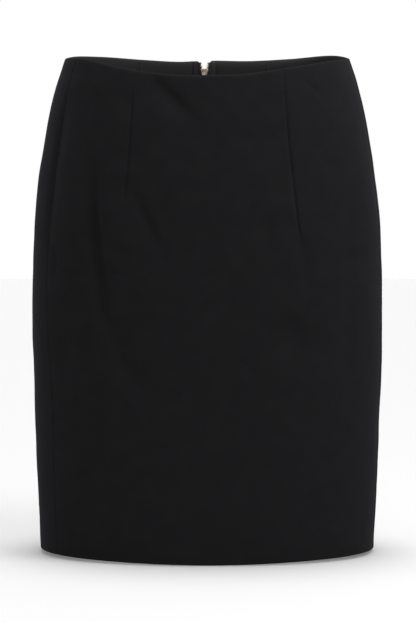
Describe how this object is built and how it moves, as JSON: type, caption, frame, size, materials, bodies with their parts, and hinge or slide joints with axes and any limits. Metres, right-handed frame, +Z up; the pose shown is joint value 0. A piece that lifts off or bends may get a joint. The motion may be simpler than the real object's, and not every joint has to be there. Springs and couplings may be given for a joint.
{
  "type": "pencil skirt",
  "caption": "Knee-length black pencil skirt, filled out as worn, with front and back darts, a turned-up hem and an exposed brass zip at the centre back.",
  "frame": {"origin": "centre of the waist, level with the tops of the side seams, where the wearer holds the skirt", "axes": "+Z up towards the waist, -Y is the front, +X is the wearer's left"},
  "size_m": [0.3839, 0.2345, 0.547],
  "materials": {
    "cloth": "matt black crepe with a faint soft sheen",
    "zip_tape": "black woven tape",
    "zip_metal": "pale polished brass"
  },
  "bodies": {
    "skirt": {"front_panel": "cloth", "back_panel_left": "cloth", "back_panel_right": "cloth", "zip_tape_left": "zip_tape", "zip_tape_right": "zip_tape", "zip_chain": "zip_metal", "zip_slider": "zip_metal"},
    "pull_tab": {"zip_pull": "zip_metal"}
  },
  "joints": [
    {"name": "pull_tab_hinge", "type": "hinge", "parent": "skirt", "child": "pull_tab", "pos_m": [-0.00328, 0.09477, -0.00743], "axis": [1, 0.0069, -0.0059], "range_deg": [0, 165]}
  ]
}
